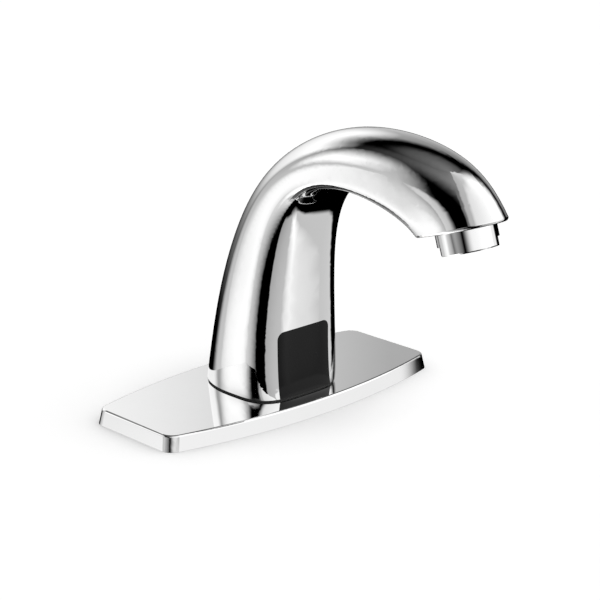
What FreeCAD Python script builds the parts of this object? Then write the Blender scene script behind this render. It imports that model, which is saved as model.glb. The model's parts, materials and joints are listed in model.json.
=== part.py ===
import FreeCAD, Part
import math
import os

import Sketcher
from FreeCAD import Placement, Rotation, Vector

# A hands-free basin tap on a cover plate, in millimetres.
# X runs along the cover plate, -Y points at the user, +Z is up.
# The origin is on the worktop, in the middle of the tap hole.

doc = FreeCAD.newDocument("sensor_tap")
sheet = doc.addObject("Spreadsheet::Sheet", "size")

SIZES = {
    "cover plate": {
        "plate_length": 160.0,
        "plate_mid_width": 72.2,
        "plate_end_width": 49.8,
        "plate_corner": 6.4,
        "plate_height": 7.0,
        "plate_draft": 1.3,
        "plate_rim_round": 1.0,
        "plate_wall": 2.0,
        "plate_hole_radius": 17.0,
        "gasket_thickness": 1.0,
        "insert_gap": 0.5,
        "insert_hole_gap": 1.0,
        "insert_rib": 2.2,
        "insert_floor": 1.6,
        "seal_thickness": 0.8,
        "seal_inset": 0.5,
        "seal_width": 2.4,
    },
    "cast body": {
        "body_wall": 3.0,
        "back_power": 2.1,
        "widest_share": 0.44,
        "nose_face_y": -118.1,
        "nose_face_z": 102.1,
        "nose_face_length": 36.0,
        "nose_tilt": 17.6,
        "nose_edge_round": 1.2,
        "cavity_end_share": 0.87,
        "boss_radius": 4.5,
        "boss_height": 12.0,
        "boss_x": 13.0,
        "boss_y": 15.0,
    },
    "cast body form": {
        "back_foot_y": 29.3,
        "back_y_1": 24.6,
        "back_z_1": 24.8,
        "back_y_2": 19.7,
        "back_z_2": 59.2,
        "back_y_3": -4.2,
        "back_z_3": 109.8,
        "back_y_4": -49.8,
        "back_z_4": 137.5,
        "back_y_5": -112.6,
        "back_z_5": 133.6,
        "back_y_6": -128.6,
        "back_z_6": 117.9,
        "front_foot_y": -25.6,
        "front_y_1": -22.9,
        "front_z_1": 13.1,
        "front_y_2": -22.6,
        "front_z_2": 68.6,
        "front_y_3": -34.2,
        "front_z_3": 104.0,
        "front_y_4": -63.6,
        "front_z_4": 111.7,
        "front_y_5": -94.3,
        "front_z_5": 102.6,
        "front_y_6": -99.3,
        "front_z_6": 97.4,
        "half_width_0": 25.7,
        "half_width_1": 27.2,
        "half_width_2": 20.3,
        "half_width_3": 20.4,
        "half_width_4": 17.3,
        "half_width_5": 14.7,
        "half_width_6": 15.4,
        "front_power_0": 3.8,
        "front_power_1": 5.6,
        "front_power_2": 4.2,
        "front_power_3": 5.0,
        "front_power_4": 5.0,
        "front_power_5": 6.1,
        "front_power_6": 5.6,
    },
    "sensor eye": {
        "window_half_width": 15.5,
        "window_top": 38.0,
        "window_corner": 3.5,
        "window_thickness": 2.2,
        "window_gap": 0.15,
        "window_seal_width": 2.0,
        "housing_half_width": 17.5,
        "housing_top": 41.0,
        "housing_gap": 0.5,
        "housing_side": 1.6,
        "housing_depth": 3.4,
        "housing_floor": 2.5,
        "cover_thickness": 0.8,
        "board_thickness": 1.2,
        "board_half_width": 15.0,
        "board_base": 17.5,
        "board_top": 38.5,
        "eye_radius": 1.5,
        "eye_length": 3.4,
        "eye_gap": 0.1,
        "eye_x": 6.0,
        "eye_z": 28.0,
        "chip_side": 5.0,
        "chip_thickness": 1.0,
        "chip_z": 20.5,
    },
    "mounting": {
        "base_thickness": 5.6,
        "base_lift": 0.6,
        "base_gap": 0.4,
        "base_screw_radius": 1.75,
        "base_screw_length": 13.0,
        "shank_radius": 14.0,
        "shank_bore": 11.5,
        "shank_fit": 0.1,
        "shank_length": 62.0,
        "collar_radius": 15.5,
        "collar_thickness": 1.6,
        "lip_seat": 1.3,
        "lip_thickness": 3.0,
        "worktop": 30.0,
        "clamp_rubber": 3.0,
        "clamp_steel": 2.0,
        "clamp_radius": 27.0,
        "clamp_fit": 0.4,
        "nut_flats": 38.0,
        "nut_height": 10.0,
        "nut_fit": 0.08,
        "sensor_screw_x": 12.5,
        "sensor_screw_inset": 2.2,
        "sensor_screw_radius": 1.2,
        "sensor_screw_head": 2.0,
    },
    "inlet": {
        "inlet_tube_radius": 6.0,
        "inlet_bore": 4.2,
        "spigot_wall": 1.2,
        "spigot_height": 3.0,
        "nipple_radius": 10.478,
        "nipple_length": 14.0,
        "nipple_hex": 22.0,
        "nipple_hex_height": 5.0,
        "nipple_drop": 12.0,
        "nipple_socket_depth": 8.0,
        "filter_radius": 8.2,
        "filter_fit": 0.1,
        "filter_depth": 7.0,
        "filter_wall": 0.8,
        "cable_hole": 1.6,
        "cable_offset": 8.4,
        "grommet_height": 6.0,
        "grommet_fit": 0.1,
    },
    "valve": {
        "valve_radius": 13.5,
        "valve_height": 19.0,
        "spigot_fit": 0.1,
        "chamber_height": 2.5,
        "passage_radius": 1.4,
        "clamp_rim": 1.5,
        "annulus_depth": 6.0,
        "seat_outer": 5.0,
        "seat_bore": 3.4,
        "side_bore": 2.4,
        "side_bore_height": 9.3,
        "outlet_gap": 0.5,
        "outlet_boss": 5.0,
        "tube_radius": 3.0,
        "tube_bore": 2.1,
        "tube_fit": 0.1,
        "ring_wire": 0.55,
        "diaphragm_gap": 0.4,
        "diaphragm_thickness": 1.2,
        "disc_radius": 5.6,
        "disc_thickness": 1.6,
        "disc_lift": 1.5,
        "bonnet_height": 7.8,
        "bonnet_socket": 1.2,
        "pilot_seat": 1.5,
        "pilot_seat_height": 0.6,
        "pilot_bore": 0.5,
        "valve_screw_rim": 0.2,
        "valve_screw_radius": 1.2,
        "valve_screw_head": 2.0,
        "valve_screw_head_height": 1.6,
    },
    "solenoid": {
        "guide_inner": 3.65,
        "guide_wall": 0.5,
        "guide_flange": 5.6,
        "guide_length": 19.2,
        "stub_radius": 2.5,
        "stub_length": 2.2,
        "plunger_fit": 0.08,
        "plunger_length": 11.8,
        "plunger_stroke": 1.2,
        "stroke_spare": 0.05,
        "tip_radius": 1.7,
        "tip_thickness": 2.0,
        "tip_recess": 1.0,
        "spring_radius": 1.45,
        "spring_wire": 0.18,
        "spring_turns": 8.0,
        "spring_bore": 1.9,
        "spring_bore_depth": 4.0,
        "core_bore_depth": 2.5,
        "bobbin_flange": 1.0,
        "bobbin_wall": 0.9,
        "bobbin_fit": 0.1,
        "coil_radius": 8.9,
        "coil_top": 17.8,
        "yoke_inner": 9.4,
        "yoke_wall": 0.8,
        "yoke_plate": 1.2,
        "coil_nut_flats": 9.0,
        "coil_nut_height": 1.8,
    },
    "aerator": {
        "aerator_radius": 12.7,
        "aerator_drop": 9.1,
        "aerator_setback": 1.4,
        "aerator_gap": 0.3,
        "aerator_chamfer": 0.5,
        "thread_radius": 11.9,
        "thread_length": 8.0,
        "thread_fit": 0.08,
        "socket_depth": 10.0,
        "housing_bore": 10.3,
        "lip_bore": 9.0,
        "lip_height": 2.0,
        "flat_width": 23.2,
        "flat_height": 3.7,
        "flat_turn": 136.3,
        "washer_inner": 8.8,
        "washer_outer": 11.6,
        "washer_play": 0.05,
        "insert_fit": 0.2,
        "insert_wall": 1.5,
        "shelf_bore": 3.0,
        "shelf_thickness": 1.0,
        "part_fit": 0.1,
        "jet_thickness": 1.5,
        "jet_hole": 0.6,
        "regulator_thickness": 2.5,
        "regulator_post": 2.0,
        "screen_thickness": 1.2,
        "screen_hole": 0.55,
        "grid_thickness": 2.0,
        "grid_hole": 0.85,
        "grid_pitch": 2.3,
    },
}

row = 1
for group, values in SIZES.items():
    sheet.set(f"A{row}", group)
    row += 1
    for alias, number in values.items():
        sheet.set(f"A{row}", alias)
        sheet.set(f"B{row}", str(number))
        sheet.setAlias(f"B{row}", alias)
        row += 1
doc.recompute()

# Heights and distances that several pieces share, as expressions on the sheet.
FOOT = "(size.plate_height + size.seal_thickness)"
BASE_LOW = f"({FOOT} + size.base_lift)"
BASE_TOP = f"({BASE_LOW} + size.base_thickness)"
SHANK_END = "(-size.shank_length)"
NIPPLE_TOP = f"({SHANK_END} - size.nipple_drop)"
NIPPLE_HEX_LOW = f"({NIPPLE_TOP} - size.nipple_hex_height)"
NIPPLE_END = f"({NIPPLE_HEX_LOW} - size.nipple_length)"
SPIGOT_TOP = f"({BASE_TOP} + size.spigot_height)"
CHAMBER_TOP = f"({SPIGOT_TOP} + size.chamber_height)"
VALVE_TOP = f"({BASE_TOP} + size.valve_height)"
SIDE_BORE_Z = f"({BASE_TOP} + size.side_bore_height)"
TUBE_LOW = f"({SIDE_BORE_Z} + size.tube_radius + size.tube_fit)"
DIAPHRAGM_TOP = f"({VALVE_TOP} + size.diaphragm_thickness)"
BONNET_TOP = f"({VALVE_TOP} + size.bonnet_height)"
SOCKET_FLOOR = f"({BONNET_TOP} - size.bonnet_socket)"
PILOT_TOP = f"({SOCKET_FLOOR} + size.pilot_seat_height)"
PLUNGER_LOW = f"({PILOT_TOP} + size.tip_recess)"
PLUNGER_TOP = f"({PLUNGER_LOW} + size.plunger_length)"
CORE_LOW = f"({PLUNGER_TOP} + size.plunger_stroke + size.stroke_spare)"
GUIDE_TOP = f"({BONNET_TOP} + size.guide_length)"
COIL_LOW = f"({BONNET_TOP} + size.yoke_plate)"
COIL_TOP = f"({BONNET_TOP} + size.coil_top)"
YOKE_TOP = GUIDE_TOP
GUIDE_OUTER = "(size.guide_inner + size.guide_wall)"
SCREW_CIRCLE = "(size.valve_radius - size.valve_screw_head - size.valve_screw_rim)"
DIAPHRAGM_RADIUS = f"({SCREW_CIRCLE} - size.valve_screw_radius - size.diaphragm_gap)"
ANNULUS_OUTER = f"({DIAPHRAGM_RADIUS} - size.clamp_rim)"
SPIGOT_RADIUS = f"({SCREW_CIRCLE} - size.valve_screw_radius - size.spigot_wall)"
OUTLET_X = "(size.valve_radius + size.tube_radius + size.outlet_gap)"
HOUSING_BACK = "(-size.valve_radius - size.housing_gap - size.cover_thickness)"
SENSOR_SCREW_Y = f"({HOUSING_BACK} - size.sensor_screw_inset)"
INSERT_RADIUS = "(size.housing_bore - size.insert_fit)"
PART_RADIUS = f"({INSERT_RADIUS} - size.insert_wall - size.part_fit)"
SHELF_TOP = "size.shelf_thickness"
JET_TOP = f"({SHELF_TOP} + size.jet_thickness)"
BOARD_BACK = f"({HOUSING_BACK} - size.eye_gap)"
BOARD_FRONT = f"({BOARD_BACK} - size.board_thickness)"


def number(expression):
    """The value of one expression on the sheet."""
    return float(sheet.evalExpression(expression.replace("size.", "")))


def bind(thing, expressions):
    for name, expression in expressions.items():
        thing.setExpression(name, expression)
    return thing


# ---- Helpers for pieces whose sizes are bound to the sheet ----


def origin_plane(body, role):
    return next(f for f in body.Origin.OriginFeatures if f.Role == role)


def new_sketch(body, name, role):
    sketch = body.newObject("Sketcher::SketchObject", name)
    sketch.AttachmentSupport = [(origin_plane(body, role), "")]
    sketch.MapMode = "FlatFace"
    return sketch


def pin_vertex(sketch, index, corner):
    """Ties the start of one edge to the sketch's origin by two expressions."""
    for kind, expression in zip(("DistanceX", "DistanceY"), corner):
        place = Sketcher.Constraint(kind, -1, 1, index, 1, number(expression))
        sketch.setExpression(f"Constraints[{sketch.addConstraint(place)}]", expression)


def polygon(sketch, corners):
    """A closed outline of straight edges through corners given as expressions."""
    places = [Vector(number(across), number(up), 0) for across, up in corners]
    count = len(places)
    for index in range(count):
        edge = Part.LineSegment(places[index], places[(index + 1) % count])
        sketch.addGeometry(edge, False)
    for index in range(count):
        following = (index + 1) % count
        sketch.addConstraint(Sketcher.Constraint("Coincident", index, 2, following, 1))
    for index, corner in enumerate(corners):
        pin_vertex(sketch, index, corner)


def turned(label, profile, place=None):
    """A body of revolution about its own Z, from (radius, height) corners."""
    body = doc.addObject("PartDesign::Body", label)
    sketch = new_sketch(body, label + "_profile", "XZ_Plane")
    polygon(sketch, profile)
    doc.recompute()
    revolved = body.newObject("PartDesign::Revolution", label + "_turned")
    revolved.Profile = sketch
    revolved.ReferenceAxis = (sketch, ["V_Axis"])
    revolved.Angle = 360
    body.Tip = revolved
    if place:
        bind(body, place)
    doc.recompute()
    return body


def cylinder(name, radius, low, high, x="0", y="0"):
    made = doc.addObject("Part::Cylinder", name)
    bind(made, {"Radius": radius, "Height": f"({high}) - ({low})"})
    bind(made, {"Placement.Base.x": x, "Placement.Base.y": y, "Placement.Base.z": low})
    return made


def box(name, x_span, y_span, z_span):
    made = doc.addObject("Part::Box", name)
    for side, axis, span in zip(("Length", "Width", "Height"), "xyz", (x_span, y_span, z_span)):
        bind(made, {side: f"({span[1]}) - ({span[0]})", f"Placement.Base.{axis}": span[0]})
    return made


def along(made, axis, degrees):
    """Turns a primitive about one axis through its own base point."""
    made.Placement = Placement(made.Placement.Base, Rotation(axis, degrees))
    return made


def hexagon(name, flats, low, high, x="0", y="0"):
    made = doc.addObject("Part::Prism", name)
    made.Polygon = 6
    bind(made, {"Circumradius": f"({flats}) / 2 / cos(30)", "Height": f"({high}) - ({low})"})
    bind(made, {"Placement.Base.x": x, "Placement.Base.y": y, "Placement.Base.z": low})
    return made


def fused(label, pieces):
    made = doc.addObject("Part::MultiFuse", label)
    made.Shapes = pieces
    return made


def cut(label, base, tools):
    made = doc.addObject("Part::Cut", label)
    made.Base = base
    made.Tool = tools[0] if len(tools) == 1 else fused(label + "_tools", tools)
    return made


def common(label, pieces):
    made = doc.addObject("Part::MultiCommon", label)
    made.Shapes = pieces
    return made


def grouped(label, pieces):
    made = doc.addObject("Part::Compound", label)
    made.Links = pieces
    return made


def shaped(name, shape):
    """A piece whose shape has no parametric feature of its own."""
    made = doc.addObject("Part::Feature", name)
    made.Shape = shape
    return made


def around(circle, degrees):
    """The place of one of several pieces on a circle, as two expressions."""
    return f"{circle} * cos({degrees})", f"{circle} * sin({degrees})"


# ---- The cast body's form ----
# Side view: the back and top line, then the front and underside line, each through eight places.
# The first of each is at the foot, and the last follows from the outlet face.

SECTION_POINTS = 36
OUTER_RING_COUNT = 21
INNER_RING_COUNT = 18


def spline(points):
    curve = Part.BSplineCurve()
    curve.buildFromPoles(points)
    return curve


def at_share(curve, share):
    return curve.value(curve.FirstParameter + share * (curve.LastParameter - curve.FirstParameter))


def side_line(name, side):
    """One side-view line, with its foot on the seal and its end on the outlet face."""
    half = number("size.nose_face_length") / 2
    tilt = math.radians(number("size.nose_tilt"))
    end_y = number("size.nose_face_y") - side * half * math.cos(tilt)
    end_z = number("size.nose_face_z") + side * half * math.sin(tilt)
    places = [Vector(0, number(f"size.{name}_foot_y"), number(FOOT))]
    for step in range(1, 7):
        places.append(Vector(0, number(f"size.{name}_y_{step}"), number(f"size.{name}_z_{step}")))
    return spline(places + [Vector(0, end_y, end_z)])


def graded(name):
    """A value that changes from the foot to the outlet, given at seven even steps."""
    return spline([Vector(number(f"size.{name}_{step}"), 0, 0) for step in range(7)])


BACK = side_line("back", 1)
FRONT = side_line("front", -1)
WIDTH = graded("half_width")
POWER = graded("front_power")


def section_points(share, inset):
    """Points on one closed outline of the body, `inset` inside its skin, evenly spaced."""
    back = at_share(BACK, share)
    front = at_share(FRONT, share)
    depth = (back - front).Length
    inward = (back - front) / depth
    half_width = at_share(WIDTH, share).x - inset
    front_depth = number("size.widest_share") * depth
    middle = front + inward * front_depth
    powers = {1: number("size.back_power"), -1: at_share(POWER, share).x}
    reach = {1: depth - front_depth - inset, -1: front_depth - inset}
    fine = []
    for step in range(721):
        angle = math.radians(90 + step / 2)
        side = 1 if math.sin(angle) >= 0 else -1
        power = 2 / powers[side]
        across = half_width * math.copysign(abs(math.cos(angle)) ** power, math.cos(angle))
        deep = side * reach[side] * abs(math.sin(angle)) ** power
        fine.append(middle + inward * deep + Vector(across, 0, 0))
    lengths = [0.0]
    for before, after in zip(fine, fine[1:]):
        lengths.append(lengths[-1] + (after - before).Length)
    points = []
    index = 0
    for count in range(SECTION_POINTS):
        wanted = lengths[-1] * count / SECTION_POINTS
        while lengths[index + 1] < wanted:
            index += 1
        part = (wanted - lengths[index]) / (lengths[index + 1] - lengths[index])
        points.append(fine[index] + (fine[index + 1] - fine[index]) * part)
    return points


def closed_curve(points):
    """One smooth closed curve, with the same spacing of knots in every section."""
    curve = Part.BSplineCurve()
    knots = [float(index) for index in range(len(points) + 1)]
    curve.interpolate(Points=points, PeriodicFlag=True, Parameters=knots)
    curve.setNotPeriodic()
    return curve


def outline(points):
    return Part.Wire(closed_curve(points).toShape())


def body_form(inset, end_share, sections):
    """A solid of the body's form, `inset` inside its skin, from the foot to end_share."""
    shares = [end_share * index / (sections - 1) for index in range(sections)]
    rings = [closed_curve(section_points(share, inset)) for share in shares]
    lines = []
    for column in zip(*[ring.getPoles() for ring in rings]):
        line = Part.BSplineCurve()
        line.interpolate(Points=list(column), Parameters=shares)
        lines.append(line)
    skin = Part.BSplineSurface()
    skin.buildFromPolesMultsKnots(
        [line.getPoles() for line in lines],
        rings[0].getMultiplicities(),
        lines[0].getMultiplicities(),
        rings[0].getKnots(),
        lines[0].getKnots(),
        False,
        False,
        3,
        3,
    )
    side = skin.toShape()
    ends = [Part.Face(Part.Wire([edge])) for edge in side.Edges if edge.isClosed()]
    shell = Part.Shell([side] + ends)
    shell.sewShape()
    return Part.Solid(shell)


def footprint(inset, low, high):
    """An upright slab with the outline of the body's foot, `inset` inside its skin."""
    flat = [Vector(point.x, point.y, low) for point in section_points(0, inset)]
    return Part.Face(outline(flat)).extrude(Vector(0, 0, high - low))


def window_prism(name, inset):
    """The eye's outline as a prism along Y: round top corners, open at the foot."""
    half = number("size.window_half_width") - inset
    top = number("size.window_top") - inset
    low = number(FOOT) - 1.0
    corner = number("size.window_corner") - inset
    slant = corner * (1 - math.sqrt(0.5))
    front = -40.0
    left = Part.Arc(
        Vector(-half, front, top - corner),
        Vector(-half + slant, front, top - slant),
        Vector(-half + corner, front, top),
    )
    right = Part.Arc(
        Vector(half - corner, front, top),
        Vector(half - slant, front, top - slant),
        Vector(half, front, top - corner),
    )
    edges = [
        Part.LineSegment(Vector(-half, front, low), Vector(-half, front, top - corner)),
        left,
        Part.LineSegment(Vector(-half + corner, front, top), Vector(half - corner, front, top)),
        right,
        Part.LineSegment(Vector(half, front, top - corner), Vector(half, front, low)),
        Part.LineSegment(Vector(half, front, low), Vector(-half, front, low)),
    ]
    wire = Part.Wire([edge.toShape() for edge in edges])
    return shaped(name, Part.Face(wire).extrude(Vector(0, 25, 0)))


# ---- Cover plate, its insert, gasket and the foot seal ----


def plate_sketch(body, name, inset):
    """The plate's outline `inset` inside its edge: two bowed sides and two straight ends."""
    half = f"(size.plate_length / 2 - {inset})"
    end = f"(size.plate_end_width / 2 - {inset})"
    rise = "((size.plate_mid_width - size.plate_end_width) / 2)"
    radius = f"(({half} ^ 2 + {rise} ^ 2) / (2 * {rise}))"
    sketch = new_sketch(body, name, "XY_Plane")
    across, up, bow = number(half), number(end), number(rise)
    corners = [(-across, -up), (across, -up), (across, up), (-across, up)]
    corners = [Vector(x, y, 0) for x, y in corners]
    sketch.addGeometry(Part.Arc(corners[0], Vector(0, -up - bow, 0), corners[1]), False)
    sketch.addGeometry(Part.LineSegment(corners[1], corners[2]), False)
    sketch.addGeometry(Part.Arc(corners[2], Vector(0, up + bow, 0), corners[3]), False)
    sketch.addGeometry(Part.LineSegment(corners[3], corners[0]), False)
    # An arc drawn clockwise is stored the other way round, so ends are joined by place.
    for index in (1, 3):
        for end_point in (1, 2):
            place = sketch.getPoint(index, end_point)
            for arc in (0, 2):
                for arc_end in (1, 2):
                    if (sketch.getPoint(arc, arc_end) - place).Length < 0.001:
                        joint = Sketcher.Constraint("Coincident", arc, arc_end, index, end_point)
                        sketch.addConstraint(joint)
    for index, signs in ((1, ("", "-")), (3, ("-", ""))):
        pin_vertex(sketch, index, (signs[0] + half, signs[1] + end))
        other = 2
        target = (signs[0] + half, ("-" if signs[1] == "" else "") + end)
        for kind, expression in zip(("DistanceX", "DistanceY"), target):
            place = Sketcher.Constraint(kind, -1, 1, index, other, number(expression))
            sketch.setExpression(f"Constraints[{sketch.addConstraint(place)}]", expression)
    for arc in (0, 2):
        size = Sketcher.Constraint("Radius", arc, number(radius))
        sketch.setExpression(f"Constraints[{sketch.addConstraint(size)}]", radius)
    return sketch


def circle_sketch(body, name, radius):
    sketch = new_sketch(body, name, "XY_Plane")
    sketch.addGeometry(Part.Circle(Vector(0, 0, 0), Vector(0, 0, 1), number(radius)), False)
    sketch.addConstraint(Sketcher.Constraint("Coincident", 0, 3, -1, 1))
    size = Sketcher.Constraint("Radius", 0, number(radius))
    sketch.setExpression(f"Constraints[{sketch.addConstraint(size)}]", radius)
    return sketch


def pad(body, sketch, length):
    made = body.newObject("PartDesign::Pad", sketch.Name + "_pad")
    made.Profile = sketch
    made.setExpression("Length", length)
    body.Tip = made
    doc.recompute()
    return made


def pocket_up(body, sketch, length):
    """Cuts upwards from the sketch, and stops if nothing was cut."""
    before = body.Tip.Shape.Volume
    made = body.newObject("PartDesign::Pocket", sketch.Name + "_pocket")
    made.Profile = sketch
    made.Reversed = True
    made.setExpression("Length", length)
    body.Tip = made
    doc.recompute()
    if made.Shape.Volume > before - 1:
        raise RuntimeError(f"{made.Name} cuts nothing")
    return made


def edges_where(shape, wanted):
    """The names of the edges whose lower and upper ends pass a test."""
    names = []
    for index, edge in enumerate(shape.Edges):
        heights = sorted(vertex.Z for vertex in edge.Vertexes)
        if wanted(heights[0], heights[-1]):
            names.append(f"Edge{index + 1}")
    return names


def standing_edges(shape):
    """The edges at an outline's corners, which run from bottom to top."""
    tall = 0.9 * shape.BoundBox.ZLength
    return edges_where(shape, lambda low, high: high - low > tall)


def rim_edges(shape):
    """The edges round the top face."""
    top = max(vertex.Z for vertex in shape.Vertexes)
    return edges_where(shape, lambda low, high: top - low < 0.001)


def rounded(body, edges, radius):
    base = body.Tip
    made = body.newObject("PartDesign::Fillet", base.Name + "_round")
    made.Base = (base, edges)
    made.setExpression("Radius", radius)
    body.Tip = made
    doc.recompute()
    return made


def deck_plate():
    body = doc.addObject("PartDesign::Body", "deck_plate")
    solid = pad(body, plate_sketch(body, "plate_outline", "0"), "size.plate_height")
    solid.setExpression("TaperAngle", "-atan(size.plate_draft / size.plate_height)")
    doc.recompute()
    rounded(body, standing_edges(body.Shape), "size.plate_corner")
    rounded(body, rim_edges(body.Shape), "size.plate_rim_round")
    hollow = plate_sketch(body, "plate_hollow", "(size.plate_wall + size.plate_draft)")
    pocket_up(body, hollow, "size.plate_height - size.plate_wall")
    hole = circle_sketch(body, "plate_hole", "size.plate_hole_radius")
    pocket_up(body, hole, "size.plate_height + 1")
    return body


def plate_insert():
    """The plastic tray inside the plate, which carries it on the worktop."""
    inset = "(size.plate_wall + size.plate_draft + size.insert_gap)"
    height = "(size.plate_height - size.plate_wall - size.gasket_thickness)"
    body = doc.addObject("PartDesign::Body", "plate_insert")
    pad(body, plate_sketch(body, "insert_outline", inset), height)
    rounded(body, standing_edges(body.Shape), "size.plate_corner - size.plate_wall")
    hollow = plate_sketch(body, "insert_hollow", f"({inset} + size.insert_rib)")
    pocket_up(body, hollow, f"{height} - size.insert_floor")
    bind(body, {"Placement.Base.z": "size.gasket_thickness"})
    doc.recompute()
    low = "size.gasket_thickness"
    high = "(size.plate_height - size.plate_wall)"
    collar = cylinder("insert_collar", "size.plate_hole_radius + 3 * size.insert_rib", low, high)
    half = f"(size.plate_length / 2 - {inset} - size.insert_rib / 2)"
    rib_y = "size.insert_rib / 2"
    spine = box("insert_spine", (f"-{half}", half), (f"-{rib_y}", rib_y), (low, high))
    ribs = [collar, spine]
    for index, share in enumerate((-0.66, -0.36, 0.36, 0.66)):
        x = f"{share} * size.plate_length / 2"
        span = (f"{x} - {rib_y}", f"{x} + {rib_y}")
        reach = "(size.plate_end_width / 2 - size.insert_rib)"
        ribs.append(box(f"insert_rib_{index}", span, (f"-{reach}", reach), (low, high)))
    whole = fused("insert_ribbed", [body] + ribs)
    radius = "size.plate_hole_radius + size.insert_hole_gap"
    bore = cylinder("insert_bore", radius, "0", "size.plate_height")
    body.Label = "insert_tray"
    made = cut("insert", whole, [bore])
    made.Label = "plate_insert"
    return made


def deck_gasket():
    body = doc.addObject("PartDesign::Body", "deck_gasket")
    inset = "(size.plate_wall + size.plate_draft + size.insert_gap)"
    pad(body, plate_sketch(body, "gasket_outline", inset), "size.gasket_thickness")
    rounded(body, standing_edges(body.Shape), "size.plate_corner - size.plate_wall")
    hole = circle_sketch(body, "gasket_hole", "size.plate_hole_radius + size.insert_hole_gap")
    pocket_up(body, hole, "size.gasket_thickness + 1")
    return body


def foot_seal():
    low = number("size.plate_height")
    high = number(FOOT)
    inset = number("size.seal_inset")
    whole = footprint(inset, low, high)
    inner = footprint(inset + number("size.seal_width"), low - 1, high + 1)
    return shaped("body_base_seal", whole.cut(inner))


deck_plate()
plate_insert()
deck_gasket()
foot_seal()


# ---- The cast body, the eye's window and its seal ----

NOSE_AXIS_Y = "(size.nose_face_y + size.aerator_setback * cos(size.nose_tilt))"
NOSE_AXIS_Z = "(size.nose_face_z - size.aerator_setback * sin(size.nose_tilt))"
NOSE_PLACE = {
    "Placement.Base.y": NOSE_AXIS_Y,
    "Placement.Base.z": NOSE_AXIS_Z,
    "Placement.Rotation.Angle": "-size.nose_tilt",
}


def in_nose(made):
    """Puts a piece that is drawn round its own Z on the aerator's axis, open end down."""
    made.Placement = Placement(Vector(0, 0, 0), Rotation(Vector(1, 0, 0), -1))
    bind(made, NOSE_PLACE)
    doc.recompute()
    return made


def nose_point(height):
    """A point on the aerator's axis, `height` above the outlet face."""
    tilt = math.radians(number("size.nose_tilt"))
    y = number(NOSE_AXIS_Y) + height * math.sin(tilt)
    return Vector(0, y, number(NOSE_AXIS_Z) + height * math.cos(tilt))


SKIN = body_form(0, 1.0, OUTER_RING_COUNT)


def tube_route():
    """The water tube's route: up beside the solenoid, then along the middle of the spout."""
    x = number(OUTLET_X)
    low = number(TUBE_LOW)
    end = nose_point(number("size.socket_depth"))
    middle = [(at_share(BACK, share) + at_share(FRONT, share)) / 2 for share in (0.33, 0.46, 0.6, 0.74)]
    beside = number("size.valve_radius + size.tube_radius / 3")
    above_coil = number(f"{GUIDE_TOP} + size.stub_length")
    points = [
        Vector(x, 0, low),
        Vector(x, 0, number(VALVE_TOP) + 7),
        Vector(beside, -4, above_coil),
        middle[0] + Vector(beside / 3, 0, 0),
        middle[1],
        middle[2],
        middle[3],
    ]
    last = end - middle[3]
    points.append(middle[3] + last * (1 - 4.0 / last.Length))
    return points


def rounded_path(points):
    """Straight runs through the points, with a tangent arc at each corner."""
    edges = []
    start = points[0]
    for before, corner, after in zip(points, points[1:], points[2:]):
        into = (corner - before).normalize()
        out = (after - corner).normalize()
        turn = into.getAngle(out)
        reach = 0.45 * min((corner - before).Length, (after - corner).Length)
        radius = reach / math.tan(turn / 2)
        first = corner - into * reach
        last = corner + out * reach
        towards = (out - into).normalize()
        to_centre = radius / math.cos(turn / 2)
        crest = corner + towards * (to_centre - radius)
        edges.append(Part.LineSegment(start, first).toShape())
        edges.append(Part.Arc(first, crest, last).toShape())
        start = last
    edges.append(Part.LineSegment(start, points[-1]).toShape())
    return Part.Wire(edges)


def pipe(path, radius):
    first = path.Edges[0]
    start = first.valueAt(first.FirstParameter)
    along_path = first.tangentAt(first.FirstParameter)
    ring = Part.Wire(Part.Circle(start, along_path, radius).toShape())
    return path.makePipeShell([ring], True, False)


ROUTE = tube_route()
TUBE_PATH = rounded_path(ROUTE)


def spout_body():
    """The chromed casting: a shell with a solid nose, two screw bosses and the eye's opening."""
    wall = number("size.body_wall")
    cavity = body_form(wall, number("size.cavity_end_share"), INNER_RING_COUNT)
    low = number(FOOT)
    boss_low = number(BASE_TOP)
    for side in (-1, 1):
        place = Vector(side * number("size.boss_x"), number("size.boss_y"), boss_low)
        boss = Part.makeCylinder(number("size.boss_radius"), number("size.boss_height"), place)
        cavity = cavity.cut(boss)
    shell = SKIN.cut(cavity).cut(footprint(wall, low - 1, low + 0.5))
    opening = window_prism("eye_opening", 0).Shape
    shell = shell.cut(opening.cut(body_form(wall + 6, 0.5, 8)))
    axis = nose_point(0) - nose_point(1)
    socket_top = nose_point(number("size.socket_depth"))
    radius = number("size.thread_radius + size.thread_fit")
    socket = Part.makeCylinder(radius, number("size.socket_depth") + 5, socket_top, axis)
    shell = shell.cut(socket)
    run = (ROUTE[-1] - ROUTE[-2]).normalize()
    bore = Part.makeCylinder(
        number("size.tube_radius + size.tube_fit"), 16, ROUTE[-1] - run * 14, run
    )
    jet = Part.makeCylinder(number("size.tube_bore"), 9, ROUTE[-1] - run, run)
    shell = shell.cut(bore).cut(jet)
    for side in (-1, 1):
        place = Vector(side * number("size.boss_x"), number("size.boss_y"), boss_low - 1)
        hole = Part.makeCylinder(number("size.base_screw_radius + size.shank_fit"), 11, place)
        shell = shell.cut(hole)
    face = Part.Face(outline(section_points(1.0, 0)))
    rim = [edge for edge in shell.Edges if (edge.CenterOfMass - face.CenterOfMass).Length < 3]
    rim = [edge for edge in rim if edge.Length > 85]
    if rim:
        shell = shell.makeFillet(number("size.nose_edge_round"), rim)
    return shaped("spout_body", shell)


def sensor_window():
    """The dark lens: its face is the body's own skin inside the opening."""
    prism = window_prism("window_outline", number("size.window_gap")).Shape
    thickness = number("size.window_thickness")
    behind = body_form(thickness, 0.5, 12)
    floor = footprint(thickness, number(FOOT) - 1, number(FOOT) + 0.5)
    lens = SKIN.common(prism).cut(behind).cut(floor)
    return shaped("sensor_window", lens)


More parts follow.
